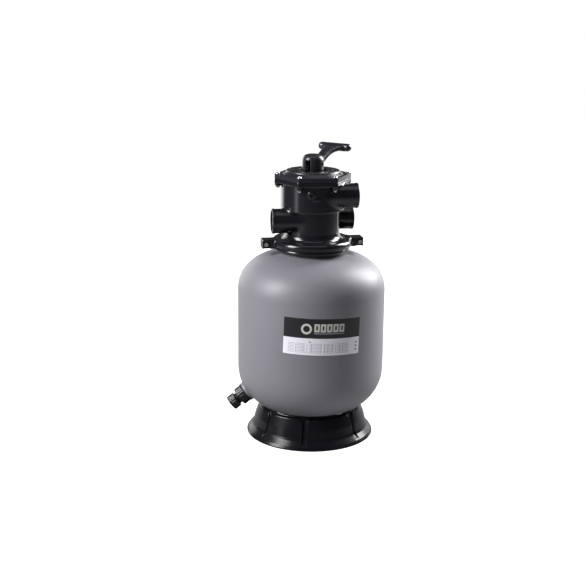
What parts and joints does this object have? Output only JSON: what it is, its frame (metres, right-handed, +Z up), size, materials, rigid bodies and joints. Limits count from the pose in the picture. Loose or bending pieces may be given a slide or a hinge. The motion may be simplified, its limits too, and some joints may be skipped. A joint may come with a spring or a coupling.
{
  "type": "pool sand filter tank",
  "caption": "Round sand filter tank on a flared skirt base, with a clamped top-mount multiport valve, lever handle, side drain cap and inner pipework.",
  "frame": {"origin": "on the floor, at the centre of the whole filter's footprint; the tank's own axis stands 14.2 mm to +X of it, because the drain reaches out on the -X side", "axes": "+Z up along the tank; +X the side of the pump and return ports, -X the side of the waste port and the drain; -Y the labelled front"},
  "size_m": [0.3782, 0.3507, 0.6932],
  "materials": {
    "tank_grey": "satin",
    "black_plastic": "gloss",
    "base_plastic": "satin",
    "label_film": "satin",
    "dial_film": "satin",
    "rubber": "matte",
    "stainless": "satin",
    "white_plastic": "satin",
    "grey_plastic": "satin"
  },
  "bodies": {
    "filter": {"tank_shell": "tank_grey", "base_skirt": "base_plastic", "rating_label": "label_film", "drain_spigot": "black_plastic", "drain_gasket": "rubber", "drain_lock_nut": "black_plastic", "drain_strainer": "grey_plastic", "valve_body": "black_plastic", "gauge_port_plug": "black_plastic", "gauge_plug_seal": "rubber", "spider_gasket": "rubber", "lid": "black_plastic", "lid_oring": "rubber", "neck_oring": "rubber", "stem_oring": "rubber", "position_dial": "dial_film", "lid_screw_1": "stainless", "lid_screw_2": "stainless", "lid_screw_3": "stainless", "lid_screw_4": "stainless", "lid_screw_5": "stainless", "lid_screw_6": "stainless", "lid_nut_1": "stainless", "lid_nut_2": "stainless", "lid_nut_3": "stainless", "lid_nut_4": "stainless", "lid_nut_5": "stainless", "lid_nut_6": "stainless", "clamp_front": "black_plastic", "clamp_back": "black_plastic", "clamp_bolt_left": "stainless", "clamp_bolt_right": "stainless", "clamp_nut_left": "stainless", "clamp_nut_right": "stainless", "standpipe": "white_plastic", "top_diffuser": "grey_plastic", "lateral_hub": "grey_plastic", "lateral_1": "white_plastic", "lateral_2": "white_plastic", "lateral_3": "white_plastic", "lateral_4": "white_plastic", "lateral_5": "white_plastic", "lateral_6": "white_plastic", "lateral_7": "white_plastic", "lateral_8": "white_plastic"},
    "selector": {"cam_washer": "white_plastic", "spring_washer": "stainless", "spring": "stainless"},
    "rotor": {"rotor": "white_plastic", "handle_pin": "stainless"},
    "handle": {"handle": "black_plastic"},
    "drain_washer": {"drain_cap_gasket": "rubber"},
    "drain_cap": {"drain_cap": "black_plastic"}
  },
  "joints": [
    {"name": "selector_turn", "type": "hinge", "parent": "filter", "child": "selector", "pos_m": [0.0142, 0, 0.6], "axis": [0, 0, 1], "continuous": true},
    {"name": "rotor_lift", "type": "slide", "parent": "selector", "child": "rotor", "axis": [0, 0, 1], "range_m": [0, 0.005], "deforming": ["spring"]},
    {"name": "handle_press", "type": "hinge", "parent": "rotor", "child": "handle", "pos_m": [0.0142, 0, 0.6555], "axis": [-0.7826, 0.6225, 0], "range_deg": [0, 20], "stiffness_Nm_per_rad": 3, "springref_deg": -45.84},
    {"name": "drain_washer_travel", "type": "slide", "parent": "filter", "child": "drain_washer", "axis": [-0.7827, 0, -0.6224], "range_m": [0, 0.009]},
    {"name": "drain_cap_turn", "type": "hinge", "parent": "drain_washer", "child": "drain_cap", "pos_m": [-0.17193, 0, 0.07735], "axis": [-0.7827, 0, -0.6224], "range_deg": [0, 1620]}
  ],
  "couplings": [
    {"joint": "rotor_lift", "follows": "handle_press", "m_per_rad": 0.014324},
    {"joint": "drain_cap_turn", "follows": "drain_washer_travel", "rad_per_m": 3141.6}
  ]
}
